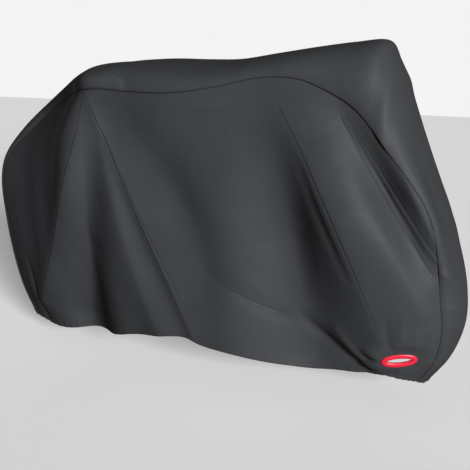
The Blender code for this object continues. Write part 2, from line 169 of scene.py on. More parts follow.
left_places = places_at(BAND_SEAM, 0, NOSE_SECTION, up_shares)
top_places = places_at(BAND_SEAM, NOSE_SECTION, SHOULDER_SECTION, along_shares)
right_places = places_at(BAND_SEAM, SHOULDER_SECTION, len(BAND_SEAM) - 1, 1 - up_shares[::-1])
sections = smooth_rows(BAND_SECTIONS, np.concatenate((left_places, top_places[1:], right_places[1:])))
ridge_lengths = np.concatenate(([0], np.cumsum(np.linalg.norm(np.diff(sections[:, :2], axis=0), axis=1))))


def band_shape(column, row):
    """The band's points, with how far across it they lie, and along it, and from its hem and seam."""
    turns = np.interp(
        row,
        (0, SEAM_CELLS, CELLS_ACROSS - SEAM_CELLS, CELLS_ACROSS),
        (-math.pi / 2, -SEAM_TURN, SEAM_TURN, math.pi / 2),
    )
    ridge_x, ridge_height, seam_x, seam_height, half_width, squareness = sections[column].T
    across = np.sign(turns) * np.abs(np.sin(turns)) ** (2 / squareness)
    fall = 1 - np.clip(1 - np.abs(across) ** squareness, 0, None) ** (1 / squareness)
    points = np.stack((
        ridge_x + (seam_x - ridge_x) * fall,
        half_width * across,
        ridge_height + (seam_height - ridge_height) * fall - HANGING_HEIGHT,
    ), axis=-1)
    along = ridge_lengths[column]
    drop = np.hypot(seam_x - ridge_x, seam_height - ridge_height)
    seam = (1 - np.abs(turns) * 2 / math.pi) * (half_width + drop)
    marks = {
        "across": across,
        "along": along,
        "hem": np.minimum(along, ridge_lengths[-1] - along),
        "seam": seam,
        "run": along,
    }
    return points, marks, (ridge_lengths[-1], BAND_WIDTH)


band_grid = lay_grid(len(sections) - 1, CELLS_ACROSS, band_shape)

# ---------------------------------------------------------------------------------------------------
# The two side panels, of the same cloth. Each is cut to the curve of its seam above and of its hem
# below, and hangs a little full between them. The hem's ends are the narrow ends of the cover.

# Columns: x, height, half width.
HEM_POINTS = (
    (-0.710, 0.085, 0.050),
    (-0.600, 0.078, 0.090),
    (-0.500, 0.082, 0.130),
    (-0.420, 0.091, 0.150),
    (-0.310, 0.108, 0.180),
    (-0.180, 0.155, 0.200),
    (-0.050, 0.178, 0.218),
    (0.035, 0.184, 0.228),
    (0.100, 0.166, 0.232),
    (0.210, 0.152, 0.235),
    (0.350, 0.124, 0.215),
    (0.450, 0.109, 0.185),
    (0.550, 0.119, 0.150),
    (0.640, 0.132, 0.125),
    (0.700, 0.123, 0.105),
    (0.742, 0.105, 0.062),
)

# How far a panel stands out from the blend of its edges, at fractions of its length.
# Columns: fraction along; a quarter, half and three quarters of the way up.
FULLNESS = (
    (0.00, 0.000, 0.000, 0.000),
    (0.06, 0.025, 0.035, 0.025),
    (0.15, 0.025, 0.040, 0.025),
    (0.30, 0.010, 0.015, 0.010),
    (0.50, 0.010, 0.015, 0.010),
    (0.75, 0.015, 0.030, 0.020),
    (0.92, 0.015, 0.015, 0.010),
    (1.00, 0.000, 0.000, 0.000),
)
# Cells over which the fullness is evened out, so that no line shows where two of its rows meet.
FULLNESS_SPREAD = 31
# A panel's rough length and height, for the widths of its hem and seams and for its own UV.
PANEL_LENGTH = 1.60
PANEL_HEIGHT = 0.86
# The mark "along" of cloth that isn't on the band.
OFF_THE_BAND = -1.0

hem_places = places_at(HEM_POINTS, 0, len(HEM_POINTS) - 1, along_shares)
along = along_shares[None, :, None]
up = up_shares[:, None, None]
left_edge = smooth_rows(BAND_SEAM, left_places)[:, None, :]
top_edge = smooth_rows(BAND_SEAM, top_places)[None, :, :]
right_edge = smooth_rows(BAND_SEAM, right_places[::-1])[:, None, :]
hem_edge = smooth_rows(HEM_POINTS, hem_places)[None, :, :]
corners = (
    (1 - along) * (1 - up) * hem_edge[:, :1]
    + along * (1 - up) * hem_edge[:, -1:]
    + (1 - along) * up * top_edge[:, :1]
    + along * up * top_edge[:, -1:]
)
panel = (1 - up) * hem_edge + up * top_edge + (1 - along) * left_edge + along * right_edge - corners
fullness = np.asarray(FULLNESS)
spread = np.hanning(FULLNESS_SPREAD) / np.hanning(FULLNESS_SPREAD).sum()


def fullness_along(number):
    """The fullness along a panel, at one of the table's heights."""
    exact = np.interp(along_shares, fullness[:, 0], fullness[:, number])
    margin = FULLNESS_SPREAD // 2
    mirrored = np.pad(exact, margin, mode="reflect", reflect_type="odd")
    return np.convolve(mirrored, spread, mode="valid")


levels = np.stack([
    0 * along_shares,
    *(fullness_along(number) for number in (1, 2, 3)),
    0 * along_shares,
], axis=-1)
panel[..., 2] += smooth_rows(np.eye(5), up_shares * 4) @ levels.T


def panel_shape(side):
    """What gives a side panel's points and marks, with its seam stations shared with the band."""

    def shape(column, row):
        across_x, height, half_width = panel[row, column].T
        points = np.stack((across_x, side * half_width, height - HANGING_HEIGHT), axis=-1)
        station = np.full(len(column), -1)
        station = np.where(column == 0, row, station)
        station = np.where(column == CELLS_ALONG, len(ridge_lengths) - 1 - row, station)
        station = np.where(row == CELLS_UP, CELLS_UP + column, station)
        below = (1 - up_shares[row]) * PANEL_HEIGHT
        inward = np.minimum(along_shares[column], 1 - along_shares[column]) * PANEL_LENGTH
        marks = {
            "across": np.full(len(column), float(side)),
            "along": np.where(station < 0, OFF_THE_BAND, ridge_lengths[station]),
            "hem": up_shares[row] * PANEL_HEIGHT,
            "seam": np.minimum(below, inward),
            "run": np.where(
                below < inward,
                along_shares[column] * PANEL_LENGTH,
                up_shares[row] * PANEL_HEIGHT,
            ),
        }
        return points, marks, (PANEL_LENGTH, PANEL_HEIGHT)

    return shape


near_grid = lay_grid(CELLS_ALONG, CELLS_UP, panel_shape(-1))
far_grid = lay_grid(CELLS_ALONG, CELLS_UP, panel_shape(1), turned=True)

# ---------------------------------------------------------------------------------------------------
# The three pieces sewn into one cover, hung up: folds run down from the handlebar's ends and from the
# saddle. They are raised on the whole cover, so that they cross the seams as on sewn cloth.

NEAR, FAR, BAND = range(3)
SEWING_REACH = 0.00002

sewn = bmesh.new()
for number, grid in ((NEAR, near_grid), (FAR, far_grid), (BAND, band_grid)):
    grid.polygons.foreach_set("material_index", [number] * len(grid.polygons))
    sewn.from_mesh(grid)
    bpy.data.meshes.remove(grid)
bmesh.ops.remove_doubles(sewn, verts=sewn.verts[:], dist=SEWING_REACH)
cover = bpy.data.meshes.new("cover")
sewn.to_mesh(cover)
sewn.free()

# Folds of a side, as crests (positive) and valleys (negative), each through three points.
# Columns: x, height; x, height; x, height; reach to the left, to the right; lift at the three points;
# how crisp the fold's line is, from 0 to 1; how much the reach grows along it, or shrinks if negative.
NEAR_FOLDS = (
    (-0.300, 0.955, -0.400, 0.600, -0.610, 0.190, 0.080, 0.060, 0.000, 0.026, 0.024, 0.6, 0.1),
    (-0.285, 0.780, -0.345, 0.440, -0.420, 0.140, 0.055, 0.100, -0.003, -0.050, -0.066, 0.0, 0.5),
    (-0.270, 0.900, -0.175, 0.500, -0.060, 0.190, 0.060, 0.045, 0.002, 0.020, 0.028, 0.3, 0.6),
    (-0.290, 0.940, -0.120, 0.565, 0.060, 0.200, 0.016, 0.050, 0.002, 0.009, 0.008, 0.8, 0.2),
    (-0.160, 0.860, 0.030, 0.600, 0.100, 0.380, 0.080, 0.070, -0.006, -0.022, -0.014, 0.0, 0.0),
    (0.110, 0.410, 0.235, 0.345, 0.400, 0.260, 0.025, 0.025, -0.002, -0.005, -0.002, 0.3, 0.0),
    (0.300, 0.880, 0.370, 0.530, 0.450, 0.180, 0.140, 0.095, -0.006, -0.068, -0.068, 0.0, 0.2),
    (0.320, 0.930, 0.500, 0.610, 0.640, 0.270, 0.070, 0.150, 0.004, 0.036, 0.018, 0.5, 0.0),
    (0.480, 0.860, 0.640, 0.570, 0.765, 0.310, 0.120, 0.050, 0.003, 0.038, 0.006, 0.2, -0.2),
    (0.505, 0.905, 0.640, 0.690, 0.755, 0.480, 0.055, 0.036, -0.010, -0.044, -0.008, 0.3, 0.0),
    (0.560, 0.910, 0.710, 0.690, 0.810, 0.450, 0.030, 0.050, 0.002, 0.022, 0.010, 0.5, 0.0),
)
FAR_FOLDS = (
    (-0.310, 0.940, -0.480, 0.620, -0.580, 0.220, 0.050, 0.060, 0.004, 0.020, 0.024, 0.6, 0.0),
    (-0.300, 0.800, -0.350, 0.500, -0.370, 0.150, 0.045, 0.045, -0.004, -0.030, -0.040, 0.0, 0.0),
    (-0.280, 0.930, -0.200, 0.560, -0.120, 0.190, 0.045, 0.045, 0.004, 0.024, 0.022, 0.8, 0.0),
    (-0.180, 0.840, -0.060, 0.580, 0.000, 0.300, 0.050, 0.045, -0.006, -0.026, -0.020, 0.0, 0.0),
    (0.080, 0.900, 0.120, 0.580, 0.120, 0.240, 0.075, 0.070, 0.004, 0.022, 0.018, 0.0, 0.0),
    (0.240, 0.840, 0.280, 0.560, 0.300, 0.200, 0.055, 0.050, -0.006, -0.036, -0.036, 0.0, 0.0),
    (0.340, 0.930, 0.420, 0.600, 0.460, 0.210, 0.045, 0.055, 0.004, 0.026, 0.020, 0.7, 0.0),
    (0.440, 0.860, 0.540, 0.600, 0.600, 0.300, 0.050, 0.045, -0.006, -0.026, -0.014, 0.0, 0.0),
    (0.530, 0.900, 0.650, 0.700, 0.720, 0.420, 0.040, 0.040, 0.004, 0.022, 0.010, 0.3, 0.0),
)
# Folds of the centre band. Columns: metres along the ridge and across it (negative is near) at three
# points; the others as above.
BAND_FOLDS = (
    (1.300, -0.240, 1.330, 0.000, 1.300, 0.240, 0.030, 0.030, -0.004, -0.008, -0.004, 0.3, 0.0),
    (2.250, -0.130, 2.280, 0.000, 2.260, 0.130, 0.030, 0.030, 0.006, 0.004, 0.006, 0.3, 0.0),
    (2.760, -0.080, 2.770, 0.000, 2.750, 0.080, 0.030, 0.030, 0.002, 0.004, 0.002, 0.3, 0.0),
    (2.870, -0.100, 2.895, -0.070, 2.925, -0.030, 0.008, 0.014, 0.002, 0.004, 0.000, 0.5, 0.0),
    (2.975, -0.090, 2.980, -0.065, 2.985, -0.030, 0.006, 0.010, 0.001, 0.003, 0.000, 0.5, 0.0),
    (1.335, -0.200, 1.390, -0.235, 1.460, -0.258, 0.012, 0.014, -0.002, -0.008, -0.002, 0.3, 0.0),
    (1.360, -0.238, 1.430, -0.258, 1.510, -0.262, 0.010, 0.012, 0.001, 0.005, 0.001, 0.3, 0.0),
)
FOLD_STEPS = 16
NO_DISTANCE = 0.000001
# How round a crisp fold's line is, and how steeply it falls away, in shares of the fold's reach.
CREST_ROUNDING = 0.12
CREST_FALL = 1.2
# A side's folds fade out on the band, from its seam to this fraction across it.
FOLD_FADE = 0.4


def nearest_on_fold(places, row):
    """For each place: its distance to a fold's line, its side from -1 (left) to 1, how far along it is."""
    corner = np.array(row[:6]).reshape(3, 2)
    share = np.linspace(0, 1, FOLD_STEPS + 1)[:, None]
    curve = (1 - share) ** 2 * corner[0] + share ** 2 * corner[2]
    curve = curve + 2 * share * (1 - share) * (2 * corner[1] - (corner[0] + corner[2]) / 2)
    nearest = np.full(len(places), np.inf)
    side = np.zeros(len(places))
    travelled = np.zeros(len(places))
    for step in range(FOLD_STEPS):
        run = curve[step + 1] - curve[step]
        offset = places - curve[step]
        part = np.clip(offset @ run / (run @ run), 0, 1)
        gap = offset - part[:, None] * run
        distance = np.maximum(np.linalg.norm(gap, axis=1), NO_DISTANCE)
        sideways = (run[0] * gap[:, 1] - run[1] * gap[:, 0]) / np.linalg.norm(run) / distance
        closer = distance < nearest
        nearest = np.where(closer, distance, nearest)
        side = np.where(closer, sideways, side)
        travelled = np.where(closer, (step + part) / FOLD_STEPS, travelled)
    return nearest, side, travelled


def fold_lift(places, folds):
    """The lift that a table of folds gives at places, two numbers for each."""
    lift = np.zeros(len(places))
    for row in folds:
        distance, side, travelled = nearest_on_fold(places, row)
        reach = row[6] + (row[7] - row[6]) * (1 + side) / 2
        scaled = distance / (reach * (1 + row[12] * (2 * travelled - 1)))
        crisp = np.exp(CREST_ROUNDING - np.hypot(scaled, CREST_ROUNDING) * CREST_FALL)
        form = (1 - row[11]) * np.exp(-scaled ** 2) + row[11] * crisp
        lift += np.interp(travelled, (0, 0.5, 1), row[8:11]) * form
    return lift


def read(data, name, width=1):
    """The values of one attribute of a mesh's elements, as an array."""
    values = np.empty(len(data) * width, np.float32)
    data.foreach_get(name, values)
    return values.astype(float) if width == 1 else values.reshape(-1, width).astype(float)


def move_out(lift):
    """Move the cover's points out along their normals."""
    points = read(cover.vertices, "co", 3) + read(cover.vertex_normals, "vector", 3) * lift[:, None]
    cover.vertices.foreach_set("co", points.ravel())
    cover.update()


mark = {name: read(cover.attributes[name].data, "value") for name in ("across", "along", "hem", "seam")}
start = read(cover.vertices, "co", 3)
on_side = start[:, [0, 2]] + (0, HANGING_HEIGHT)
on_band = np.stack((mark["along"], start[:, 1]), axis=-1)
near_share = np.clip((-mark["across"] - FOLD_FADE) / (1 - FOLD_FADE), 0, 1) ** 2
far_share = np.clip((mark["across"] - FOLD_FADE) / (1 - FOLD_FADE), 0, 1) ** 2
move_out(
    near_share * fold_lift(on_side, NEAR_FOLDS)
    + far_share * fold_lift(on_side, FAR_FOLDS)
    + fold_lift(on_band, BAND_FOLDS)
)

# Smaller folds that lie on the large ones, in the same columns.
SMALL_NEAR_FOLDS = (
    (0.660, 0.340, 0.668, 0.260, 0.680, 0.150, 0.012, 0.012, -0.001, -0.004, -0.003, 0.2, 0.0),
    (0.700, 0.350, 0.705, 0.280, 0.700, 0.240, 0.014, 0.014, 0.001, 0.003, 0.002, 0.2, 0.0),
    (0.760, 0.320, 0.758, 0.240, 0.748, 0.170, 0.010, 0.012, -0.001, -0.004, -0.003, 0.2, 0.0),
    (0.410, 0.290, 0.500, 0.210, 0.600, 0.140, 0.022, 0.016, -0.004, -0.012, -0.008, 0.5, 0.0),
    (0.520, 0.260, 0.570, 0.200, 0.640, 0.150, 0.018, 0.014, 0.004, 0.008, 0.004, 0.5, 0.0),
    (0.020, 0.905, 0.110, 0.915, 0.200, 0.925, 0.014, 0.014, 0.001, 0.004, 0.001, 0.2, 0.0),
    (0.390, 0.770, 0.470, 0.600, 0.550, 0.440, 0.010, 0.010, -0.001, -0.005, -0.002, 0.5, 0.0),
    (0.525, 0.890, 0.655, 0.690, 0.780, 0.500, 0.006, 0.010, 0.001, 0.005, 0.002, 0.7, 0.0),
    (-0.700, 0.330, -0.660, 0.220, -0.640, 0.100, 0.016, 0.016, -0.001, -0.008, -0.010, 0.3, 0.0),
    (-0.270, 0.760, -0.245, 0.460, -0.215, 0.150, 0.100, 0.080, 0.000, 0.016, 0.022, 0.0, 0.0),
    (-0.300, 1.000, -0.270, 0.850, -0.250, 0.700, 0.120, 0.160, -0.014, -0.012, 0.000, 0.0, 0.0),
    (-0.040, 1.000, -0.010, 0.850, 0.010, 0.700, 0.150, 0.180, 0.012, 0.010, 0.000, 0.0, 0.0),
)
# Where the cloth is drawn in by elastic, in the hem at both ends. Columns: x, height of the puckers.
PUCKERS = ((-0.90, 0.0012), (-0.60, 0.0010), (-0.42, 0.0), (0.52, 0.0), (0.66, 0.0010), (0.90, 0.0016))
PUCKER_PITCH = 0.022
PUCKER_REACH = 0.030
# What keeps the puckers uneven: how they slant across the cover, and how far and how fast they wander.
PUCKER_SLANT = 0.6
PUCKER_WANDER = 0.004
PUCKER_WANDER_RATE = 61
# The folded hem: its width, how far it stands up, and the width of the step beside it.
HEM_WIDTH = 0.020
HEM_RISE = 0.0008
HEM_STEP = 0.003

near_part = np.clip(-mark["across"], 0, 1) ** 4
pucker_height = np.interp(start[:, 0], *np.transpose(PUCKERS)) * np.exp(-mark["hem"] / PUCKER_REACH)
wander = PUCKER_WANDER * np.sin(start[:, 0] * PUCKER_WANDER_RATE)
along_hem = start[:, 0] + PUCKER_SLANT * start[:, 1] + wander
move_out(
    near_part * fold_lift(on_side, SMALL_NEAR_FOLDS)
    + pucker_height * np.sin(math.tau * along_hem / PUCKER_PITCH)
    + HEM_RISE * np.clip((HEM_WIDTH - mark["hem"]) / HEM_STEP, 0, 1)
)

# Sharp creases, finer than the cloth's cells: the finish draws them from how far off each one lies, pressed
# into the bump and darkened in the colour as painted shade.
# Columns: x, height at three points; millimetres deep at the three points.
NEAR_CREASES = (
    (-0.300, 0.955, -0.405, 0.600, -0.615, 0.190, 0.8, 1.2, 0.8),
    (-0.290, 0.940, -0.130, 0.580, 0.050, 0.210, 0.6, 1.4, 0.4),
    (-0.275, 0.900, -0.110, 0.560, 0.030, 0.300, 0.3, 0.8, 0.3),
    (0.320, 0.930, 0.500, 0.610, 0.640, 0.280, 0.6, 1.2, 0.3),
    (0.400, 0.770, 0.480, 0.600, 0.555, 0.450, 0.2, 0.8, 0.2),
    (0.500, 0.900, 0.645, 0.670, 0.780, 0.450, 0.8, 1.6, 0.6),
    (0.520, 0.900, 0.665, 0.690, 0.790, 0.500, 0.3, 1.0, 0.3),
    (0.120, 0.400, 0.250, 0.335, 0.410, 0.270, 0.2, 0.9, 0.2),
)
FAR_CREASES = (
    (-0.320, 0.950, -0.488, 0.630, -0.590, 0.220, 1.0, 1.6, 1.2),
    (-0.300, 0.930, -0.215, 0.570, -0.130, 0.190, 0.6, 1.4, 0.4),
    (0.340, 0.930, 0.405, 0.610, 0.445, 0.220, 0.6, 1.6, 0.4),
    (0.460, 0.880, 0.560, 0.640, 0.610, 0.340, 0.6, 1.4, 0.4),
)
CREASE_REACH = 0.014
# The share of a crease over which it fades in, and out again at its other end.
CREASE_END = 0.02
# The mark "across" past which cloth counts as a side's.
ON_A_SIDE = 0.9


def mark_creases(name, tables):
    """Mark the cover with the distance to the nearest crease of a set, and with its depth there."""
    crease = np.full(len(start), 1.0)
    depth = np.zeros(len(start))
    for creases, side in tables:
        on_this = mark["across"] * side > ON_A_SIDE
        for row in creases:
            distance, sideways, travelled = nearest_on_fold(on_side, row)
            signed = np.copysign(distance, sideways)
            closer = on_this & (np.abs(signed) < np.abs(crease))
            crease = np.where(closer, signed, crease)
            ends = np.interp(travelled, (0, CREASE_END, 1 - CREASE_END, 1), (0, 1, 1, 0))
            depth = np.where(closer, np.interp(travelled, (0, 0.5, 1), row[6:9]) * ends, depth)
    depth = np.where(np.abs(crease) < CREASE_REACH, depth / 1000, 0)
    cover.attributes.new(name, "FLOAT", "POINT").data.foreach_set("value", crease)
    cover.attributes.new(name + " depth", "FLOAT", "POINT").data.foreach_set("value", depth)


mark_creases("crease", ((NEAR_CREASES[::2], -1), (FAR_CREASES[::2], 1)))
mark_creases("second crease", ((NEAR_CREASES[1::2], -1), (FAR_CREASES[1::2], 1)))

# ---------------------------------------------------------------------------------------------------
# The lock holes: an oval cut through each side near one lower corner, where the cloth is drawn flat.
# Its ring is two red plastic halves that grip the edge of the cloth between them.

RING_LENGTH = 0.106
RING_HEIGHT = 0.047
RING_LIP = 0.0105
# The cloth's outer face lies this far out from the middle of a ring.
CLOTH_FACE = 0.001
# The cloth lies flat out to the first of these from the hole's edge, and is back in its folds at the second.
FLAT_REACH = 0.014
SLOPE_REACH = 0.050
HALF_LENGTH = RING_LENGTH / 2 - RING_LIP
HALF_HEIGHT = RING_HEIGHT / 2 - RING_LIP
HOLE_PLAY = 0.001
RIM_REACH = 0.009
# Cloth further in or out than these from the hole's plane is another part of the cover.
FLAT_DEPTH = 0.06
RIM_DEPTH = 0.02


class LockHole:
    """A lock hole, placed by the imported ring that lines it."""

    def __init__(self, side, node):
        points = read(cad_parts[node].data.vertices, "co", 3)
        upward, outward = np.linalg.svd(points - points.mean(axis=0), full_matrices=False)[2][1:]
        outward *= math.copysign(1, outward[1] * side)
        upward *= math.copysign(1, upward[2])
        self.ways = np.stack((np.cross(upward, outward), upward, outward))
        self.middle = points.mean(axis=0) + outward * CLOTH_FACE

    def local(self, points):
        """Points as places along the hole, up it and out from the cloth."""
        return (points - self.middle) @ self.ways.T

    def world(self, local):
        """Places along the hole, up it and out from the cloth as points."""
        return self.middle + local @ self.ways

    def beyond(self, local):
        """How far places lie out from the hole's edge, and the slope of that."""
        scaled = local[:, :2] / (HALF_LENGTH, HALF_HEIGHT)
        reach = np.maximum(np.linalg.norm(scaled, axis=1), NO_DISTANCE)
        slope = scaled / (HALF_LENGTH, HALF_HEIGHT)
        steep = np.maximum(np.linalg.norm(slope, axis=1), NO_DISTANCE)
        return (reach - 1) * reach / steep, slope / steep[:, None]


near_hole = LockHole(-1, "near_eyelet_ring")
far_hole = LockHole(1, "far_eyelet_ring")
points = read(cover.vertices, "co", 3)
for hole in (near_hole, far_hole):
    local = hole.local(points)
    distance, slope = hole.beyond(local)
    close = (distance < SLOPE_REACH) & (np.abs(local[:, 2]) < FLAT_DEPTH)
    share = np.clip((SLOPE_REACH - distance[close]) / (SLOPE_REACH - FLAT_REACH), 0, 1)
    local[close, 2] *= 1 - share ** 2 * (3 - 2 * share)
    points[close] = hole.world(local[close])
cover.vertices.foreach_set("co", points.ravel())
cover.update()


def cut_hole(piece, hole):
    """Cut the hole's oval out of a piece of cloth and draw the cut edge round."""
    for _ in range(2):
        local = hole.local(np.array([face.calc_center_median() for face in piece.faces]))
        distance = hole.beyond(local)[0]
        inside = (distance < HOLE_PLAY) & (np.abs(local[:, 2]) < RIM_DEPTH)
        faces = [face for face, cut in zip(piece.faces, inside) if cut]
        bmesh.ops.delete(piece, geom=faces, context="FACES")
    rim = [vert for vert in piece.verts if vert.is_boundary]
    local = hole.local(np.array([vert.co for vert in rim]))
    at_hole = (hole.beyond(local)[0] < RIM_REACH) & (np.abs(local[:, 2]) < RIM_DEPTH)
    local = local[at_hole]
    for _ in range(3):
        distance, slope = hole.beyond(local)
        local[:, :2] -= (distance - HOLE_PLAY)[:, None] * slope
    for vert, place in zip(np.array(rim)[at_hole], hole.world(local)):
        vert.co = place


# ---------------------------------------------------------------------------------------------------
# The finish of the cloth: charcoal polyester, woven fine and coated, so it looks smooth and satin.
# Each seam is sewn with the edges inside and a row of stitches beside it. Each hem is turned up and sewn
# along one line. The colour is darkened in creases, seams' grooves and hems' sewn lines: painted shade.

DARK_CLOTH = (0.032, 0.0335, 0.036, 1.0)
PALE_CLOTH = (0.040, 0.0415, 0.045, 1.0)
# Painted shade: the near black that the colour goes to in creases, seams' grooves and hems' sewn lines.
PAINTED_SHADE_COLOUR = (0.006, 0.006, 0.007, 1.0)


class Wire:
    """A socket of a material's nodes. Sums written on it add Math nodes."""

    def __init__(self, tree, socket=None):
        self.tree = tree
        self.socket = socket

    def add(self, kind, settings=(), inputs=(), output=0):
        """Add a node of a type, with its settings set first and then the values or links of its sockets."""
        node = self.tree.nodes.new(kind)
        for name, value in dict(settings).items():
            setattr(node, name, value)
        for name, value in dict(inputs).items():
            if isinstance(value, Wire):
                self.tree.links.new(value.socket, node.inputs[name])
            else:
                node.inputs[name].default_value = value
        return Wire(self.tree, node.outputs[output])

    def maths(self, operation, first, second):
        """Add a Math node for an operation on two values or wires."""
        return self.add("ShaderNodeMath", {"operation": operation}, {0: first, 1: second})

    def __add__(self, other):
        return self.maths("ADD", self, other)

    def __radd__(self, other):
        return self.maths("ADD", other, self)

    def __sub__(self, other):
        return self.maths("SUBTRACT", self, other)

    def __rsub__(self, other):
        return self.maths("SUBTRACT", other, self)

    def __mul__(self, other):
        return self.maths("MULTIPLY", self, other)

    def __rmul__(self, other):
        return self.maths("MULTIPLY", other, self)

    def ramp(self, low, high, start=0.0, end=1.0):
        """A smooth step of this value from start at low to end at high."""
        return self.add(
            "ShaderNodeMapRange",
            {"interpolation_type": "SMOOTHSTEP"},
            {"Value": self, "From Min": low, "From Max": high, "To Min": start, "To Max": end},
        )


def new_material(name):
    """A material, a wire to start its nodes from, and its shader."""
    material = bpy.data.materials.new(name)
    material.use_nodes = True
    shader = material.node_tree.nodes["Principled BSDF"]
    return material, Wire(material.node_tree), shader


def plug(wire, socket):
    """Link a wire to a socket of the shader."""
    wire.tree.links.new(wire.socket, socket)


# Depths and heights in metres: seam, hem's sewn line, stitches, rumpled cloth and grain.
SEAM_GROOVE = 0.0004
HEM_GROOVE = 0.0006
STITCH_RISE = 0.0003
RUMPLE_RISE = 0.0016
GRAIN_RISE = 0.00006
# Distances from the seam or hem in metres: the seam's groove from and to, the sewn line's start, middle
# and end, and where the stitches start, are full, begin to end and end.
SEAM_LINE = (0.0002, 0.0022)
HEM_LINE = (0.0155, 0.0170, 0.0190)
STITCH_LINE = (0.0045, 0.0052, 0.0060, 0.0067)
STITCH_PITCH = 0.0045
CREASE_WIDTH = 0.0055
# How much painted shade darkens the colour in a seam, in a hem's sewn line and per metre's depth of crease.
SEAM_SHADE = 0.28
HEM_SHADE = 0.25
CREASE_SHADE = 260.0

cloth_material, tree, shader = new_material("charcoal coated polyester")
place = tree.add("ShaderNodeTexCoord", output=3)
cloud = tree.add("ShaderNodeTexNoise", {}, {"Vector": place, "Scale": 7.0, "Detail": 4.0})
grain = tree.add("ShaderNodeTexNoise", {}, {"Vector": place, "Scale": 900.0, "Detail": 1.0})
rumple = tree.add("ShaderNodeTexNoise", {}, {"Vector": place, "Scale": 16.0, "Detail": 2.0})
seam = tree.add("ShaderNodeAttribute", {"attribute_name": "seam"}, output=2)
hem = tree.add("ShaderNodeAttribute", {"attribute_name": "hem"}, output=2)
run = tree.add("ShaderNodeAttribute", {"attribute_name": "run"}, output=2)
pressed = 0.0
painted_crease_shade = 1.0
# Each crease is pressed into the bump and also darkened in the colour: painted shade.
for name in ("crease", "second crease"):
    crease = tree.add("ShaderNodeAttribute", {"attribute_name": name}, output=2)
    depth = tree.add("ShaderNodeAttribute", {"attribute_name": name + " depth"}, output=2)
    groove = crease.maths("ABSOLUTE", crease, 0.0).ramp(0.0, CREASE_WIDTH, 1.0, 0.0)
    pressed = pressed - depth * groove
    painted_crease_shade = painted_crease_shade * (1 - groove * depth * CREASE_SHADE)
seam_groove = seam.ramp(*SEAM_LINE, 1.0, 0.0)
hem_groove = hem.ramp(*HEM_LINE[:2]) * hem.ramp(*HEM_LINE[1:], 1.0, 0.0)
dash = run.maths("PINGPONG", run * (1 / STITCH_PITCH), 0.5).ramp(0.10, 0.20)
stitch = dash * seam.ramp(*STITCH_LINE[:2]) * seam.ramp(*STITCH_LINE[2:], 1.0, 0.0)
# Painted shade in the colour: darker in creases, in the seams' grooves and along the hems' sewn lines.
shade = painted_crease_shade * (1 - SEAM_SHADE * seam_groove) * (1 - HEM_SHADE * hem_groove)
colour = tree.add(
    "ShaderNodeMix",
    {"data_type": "RGBA"},
    {"Factor": cloud, "A": DARK_CLOTH, "B": PALE_CLOTH},
    output=2,
)
colour = tree.add(
    "ShaderNodeMix",
    {"data_type": "RGBA"},
    {"Factor": shade, "A": PAINTED_SHADE_COLOUR, "B": colour},
    output=2,
)
plug(colour, shader.inputs["Base Color"])
shader.inputs["Specular IOR Level"].default_value = 0.14
plug(0.50 + cloud * 0.08 + grain * 0.06, shader.inputs["Roughness"])
height = (
    pressed
    - seam_groove * SEAM_GROOVE
    - hem_groove * HEM_GROOVE
    + stitch * STITCH_RISE
    + rumple * RUMPLE_RISE
    + grain * GRAIN_RISE
)
bump = tree.add("ShaderNodeBump", {}, {"Height": height, "Strength": 1.0, "Distance": 1.0})
plug(bump, shader.inputs["Normal"])

CLOTH_THICKNESS = 0.0008


def cut_piece(name, number, hole=None):
    """One cut piece of the sewn cover, as a closed thin sheet."""
    piece = bmesh.new()
    piece.from_mesh(cover)
    others = [face for face in piece.faces if face.material_index != number]
    bmesh.ops.delete(piece, geom=others, context="FACES")
    for face in piece.faces:
        face.material_index = 0
    if hole:
        cut_hole(piece, hole)
    mesh = bpy.data.meshes.new(name)
    piece.to_mesh(mesh)
    piece.free()
    mesh.shade_smooth()
    mesh.materials.append(cloth_material)
    item = bpy.data.objects.new(name, mesh)
    bpy.context.scene.collection.objects.link(item)
    thickness = item.modifiers.new("cloth thickness", "SOLIDIFY")
    thickness.thickness = CLOTH_THICKNESS
    thickness.offset = -1
    return item


near_panel = cut_piece("near_panel_cloth", NEAR, near_hole)
far_panel = cut_piece("far_panel_cloth", FAR, far_hole)
band = cut_piece("band_cloth", BAND)
for item, nodes in (
    (near_panel, ("near_side_panel", "near_lock_strip")),
    (far_panel, ("far_side_panel", "far_lock_strip")),
    (band, ("centre_band",)),
):
    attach(item, "root")
    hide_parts(*nodes)
bpy.data.meshes.remove(cover)

# ---------------------------------------------------------------------------------------------------
# The rings: moulded red plastic, rounded outside and inside, with a slot that takes the cloth's edge.
# The two halves are pressed together through the hole, one from outside and one from inside.

RING_WALL = 0.0042
# How full the ring's bulge is: 1 is a round one, less is fuller.
RING_BULGE = 0.8
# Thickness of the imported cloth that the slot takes, and the play on each side of it.
SLOT_WIDTH = 0.002
SLOT_PLAY = 0.0003
RING_ROUND = 14
RING_STEPS = 120
RED_DARK = (0.60, 0.012, 0.035, 1.0)
RED_LIGHT = (0.70, 0.020, 0.050, 1.0)
# An edge of a ring that turns more than this stays sharp.
RING_SHARP = math.radians(50)

ring_material, tree, shader = new_material("moulded red plastic")
place = tree.add("ShaderNodeTexCoord", output=3)
mottle = tree.add("ShaderNodeTexNoise", {}, {"Vector": place, "Scale": 260.0, "Detail": 2.0})
colour = tree.add(
    "ShaderNodeMix",
    {"data_type": "RGBA"},
    {"Factor": mottle, "A": RED_DARK, "B": RED_LIGHT},
    output=2,
)
plug(colour, shader.inputs["Base Color"])
plug(0.26 + mottle * 0.12, shader.inputs["Roughness"])
bump = tree.add("ShaderNodeBump", {}, {"Height": mottle, "Strength": 0.3, "Distance": 0.0004})
plug(bump, shader.inputs["Normal"])


